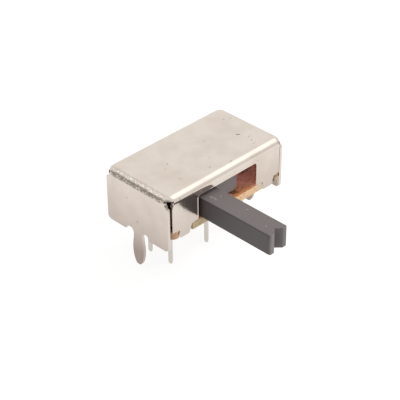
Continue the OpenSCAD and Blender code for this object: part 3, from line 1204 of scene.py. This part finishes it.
class SWITCH_OT_detent_coil(Operator):
    """Wind the detent spring"""

    bl_idname = "slide_switch.detent_coil"
    bl_label = "Detent spring"

    def execute(self, context):
        settings = context.scene.switch_metal
        wire_r = settings.wire * MM / 2
        low, high = (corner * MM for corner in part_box("detent_spring"))
        coil_r = (high.x - low.x) / 2 - wire_r
        middle = (low + high) / 2
        rise = high.y - low.y - 2 * wire_r
        bpy.ops.object.select_all(action="DESELECT")
        bpy.ops.mesh.primitive_circle_add(
            vertices=WIRE_SIDES,
            radius=wire_r,
            location=(middle.x, low.y + wire_r, middle.z),
        )
        coil = context.active_object
        coil.name = "detent_coil"
        bpy.ops.object.mode_set(mode="EDIT")
        bpy.ops.transform.translate(value=(coil_r, 0, 0))
        bpy.ops.object.mode_set(mode="OBJECT")
        screw = coil.modifiers.new("winding", "SCREW")
        screw.axis = "Y"
        screw.angle = -math.tau  # wound left-handed, as the CAD spring is
        screw.steps = screw.render_steps = STEPS_PER_TURN
        screw.iterations = settings.turns
        screw.screw_offset = rise / settings.turns
        bpy.ops.object.modifier_apply(modifier=screw.name)
        bpy.ops.object.transform_apply(location=True)
        bpy.ops.object.mode_set(mode="EDIT")
        bpy.ops.mesh.select_all(action="SELECT")
        bpy.ops.mesh.fill_holes(sides=0)
        bpy.ops.mesh.select_all(action="SELECT")
        bpy.ops.mesh.normals_make_consistent(inside=False)
        bpy.ops.object.mode_set(mode="OBJECT")
        coil.data.materials.append(
            rolled_metal("drawn_spring_wire", linear("B8B8BC"), 0.2, 0.3)
        )
        to_metres(coil)
        stand_for(coil, "detent_spring", "slider_group")
        return {"FINISHED"}


class SWITCH_OT_contacts(Operator):
    """Finish the contact clips and the detent ball"""

    bl_idname = "slide_switch.contacts"
    bl_label = "Clips and ball"

    def execute(self, context):
        settings = context.scene.switch_metal
        bronze = rolled_metal("phosphor_bronze_strip", settings.bronze[:], 0.24, 0.36)
        ball = rolled_metal("polished_bearing_steel", linear("D4D5D8"), 0.06, 0.1)
        for node, finish in (
            ("contact_clip_front", bronze),
            ("contact_clip_back", bronze),
            ("detent_ball", ball),
        ):
            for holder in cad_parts[node].material_slots:
                holder.material = finish
        return {"FINISHED"}


# ---------------------------------------------------------------- studio

# Azimuth 0 is in front of the lever, and a quarter turn on is at the right
AIM_MM = (0.280, -0.177, 0.105)
CAMERA_AZIMUTH_DEG = -44.920
CAMERA_ELEVATION_DEG = 34.471
CAMERA_ROLL_DEG = -0.387
CAMERA_DISTANCE_MM = 109.705
CAMERA_RANGE = (0.001, 10.0)  # nearest and farthest that it sees
LENS_MM = 123.84
FLOOR_SIDE = 0.8

# Azimuth and elevation of the softboxes, and their distance and side
KEY_DEG = (65.0, 48.0)
FILL_DEG = (15.0, 12.0)
SOFTBOX_DISTANCE = 0.12
SOFTBOX_SIDE = 0.07

# Panels of the tent: azimuth, elevation, the angles from their middle at which
# they start and stop fading, and how much brighter than the tent they are
TENT_PANELS = (
    (70.0, 52.0, 3.0, 36.0, 0.74),
    (135.0, 34.0, 12.0, 42.0, 0.1),
    (36.0, -8.0, 6.0, 26.0, -0.07),
    (-128.0, 2.0, 10.0, 40.0, -0.34),
    (-58.0, 6.0, 18.0, 60.0, -0.7),
)
CLOTH = "FFFFFE"


def direction(azimuth_deg, elevation_deg):
    """Unit vector that points from the object towards that azimuth and elevation."""
    azimuth, elevation = math.radians(azimuth_deg), math.radians(elevation_deg)
    level = math.cos(elevation)
    return Vector(
        (math.sin(azimuth) * level, -math.cos(azimuth) * level, math.sin(elevation))
    )


def make_camera():
    """The camera: far off, with a long lens, aimed near the terminals' middle."""
    data = bpy.data.cameras.new("camera")
    camera = bpy.data.objects.new("camera", data)
    bpy.context.scene.collection.objects.link(camera)
    back = direction(CAMERA_AZIMUTH_DEG, CAMERA_ELEVATION_DEG)
    level = Vector((0, 0, 1)).cross(back).normalized()
    right = Matrix.Rotation(math.radians(CAMERA_ROLL_DEG), 3, back) @ level
    up = back.cross(right)
    turned = Matrix((right, up, back)).transposed().to_4x4()
    place = (Vector(AIM_MM) + back * CAMERA_DISTANCE_MM) / MM
    camera.matrix_world = Matrix.Translation(place) @ turned
    data.lens = LENS_MM
    data.clip_start, data.clip_end = CAMERA_RANGE
    bpy.context.scene.camera = camera


def make_tent():
    """The world: an even white tent with brighter panels and darker ones."""
    world = bpy.data.worlds.new("white_tent")
    bpy.context.scene.world = world
    world.use_nodes = True
    tree = world.node_tree
    tree.nodes.clear()
    facing_out = add_node(tree, "ShaderNodeTexCoord").outputs["Generated"]
    strength = bpy.context.scene.switch_studio.tent
    for azimuth_deg, elevation_deg, inner_deg, outer_deg, brighter in TENT_PANELS:
        facing = add_node(
            tree,
            "ShaderNodeVectorMath",
            {0: facing_out, 1: direction(azimuth_deg, elevation_deg)},
            operation="DOT_PRODUCT",
        )
        panel = add_node(
            tree,
            "ShaderNodeMapRange",
            {
                "Value": facing.outputs["Value"],
                "From Min": math.cos(math.radians(outer_deg)),
                "From Max": math.cos(math.radians(inner_deg)),
                "To Max": brighter,
            },
            interpolation_type="SMOOTHSTEP",
        )
        strength = add_node(tree, "ShaderNodeMath", {0: panel, 1: strength}, operation="ADD")
    cloth = add_node(
        tree, "ShaderNodeBackground", {"Color": linear(CLOTH), "Strength": strength}
    )
    add_node(tree, "ShaderNodeOutputWorld", {"Surface": cloth})


def make_softbox(name, azimuth_deg, elevation_deg, power_w):
    """A softbox with a cross-polarised front, so that metal doesn't mirror it."""
    data = bpy.data.lights.new(name, "AREA")
    data.shape = "SQUARE"
    data.size = SOFTBOX_SIDE
    data.energy = power_w
    box = bpy.data.objects.new(name, data)
    bpy.context.scene.collection.objects.link(box)
    towards = direction(azimuth_deg, elevation_deg)
    box.location = towards * SOFTBOX_DISTANCE
    box.rotation_euler = towards.to_track_quat("Z", "Y").to_euler()
    box.visible_glossy = False


class SWITCH_OT_studio(Operator):
    """Build the floor, the lights and the camera"""

    bl_idname = "slide_switch.studio"
    bl_label = "Studio"

    def execute(self, context):
        make_camera()
        make_tent()
        settings = context.scene.switch_studio
        make_softbox("key_softbox", *KEY_DEG, settings.key_w)
        make_softbox("fill_softbox", *FILL_DEG, settings.fill_w)
        bpy.ops.object.select_all(action="DESELECT")
        bpy.ops.mesh.primitive_plane_add(size=FLOOR_SIDE, location=(0, 0, CAD_BOX[0].z))
        floor = context.active_object
        floor.name = "floor"
        floor.data.materials.append(back_lit_acrylic())
        bpy.ops.object.transform_apply(location=True)
        context.scene.view_settings.view_transform = "Standard"
        return {"FINISHED"}


OPERATORS = (
    SWITCH_OT_case_shell,
    SWITCH_OT_base_laminate,
    SWITCH_OT_terminals,
    SWITCH_OT_slider_moulding,
    SWITCH_OT_detent_coil,
    SWITCH_OT_contacts,
    SWITCH_OT_studio,
)
GROUPS = {
    "switch_case": ("Case", CaseSettings),
    "switch_base": ("Base", BaseSettings),
    "switch_slider": ("Slider", SliderSettings),
    "switch_metal": ("Small metal", MetalSettings),
    "switch_studio": ("Studio", StudioSettings),
}


class SWITCH_PT_panel(Panel):
    """Settings and steps, in the 3D view's sidebar"""

    bl_idname = "SWITCH_PT_panel"
    bl_label = "Slide switch"
    bl_space_type = "VIEW_3D"
    bl_region_type = "UI"
    bl_category = "Slide switch"

    def draw(self, context):
        for attribute, (title, group) in GROUPS.items():
            box = self.layout.box()
            box.label(text=title)
            for name in group.__annotations__:
                box.prop(getattr(context.scene, attribute), name)
        for operator in OPERATORS:
            self.layout.operator(operator.bl_idname)


def register():
    """Adds the settings, the operators and the panel."""
    for attribute, (_, group) in GROUPS.items():
        bpy.utils.register_class(group)
        setattr(bpy.types.Scene, attribute, PointerProperty(type=group))
    for operator in OPERATORS:
        bpy.utils.register_class(operator)
    bpy.utils.register_class(SWITCH_PT_panel)


def unregister():
    """Takes away what register added."""
    bpy.utils.unregister_class(SWITCH_PT_panel)
    for operator in reversed(OPERATORS):
        bpy.utils.unregister_class(operator)
    for attribute, (_, group) in GROUPS.items():
        delattr(bpy.types.Scene, attribute)
        bpy.utils.unregister_class(group)


def main():
    """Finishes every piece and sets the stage."""
    register()
    bpy.ops.slide_switch.case_shell()
    bpy.ops.slide_switch.base_laminate()
    bpy.ops.slide_switch.terminals()
    bpy.ops.slide_switch.slider_moulding()
    bpy.ops.slide_switch.detent_coil()
    bpy.ops.slide_switch.contacts()
    bpy.ops.slide_switch.studio()


if __name__ == "__main__":
    main()
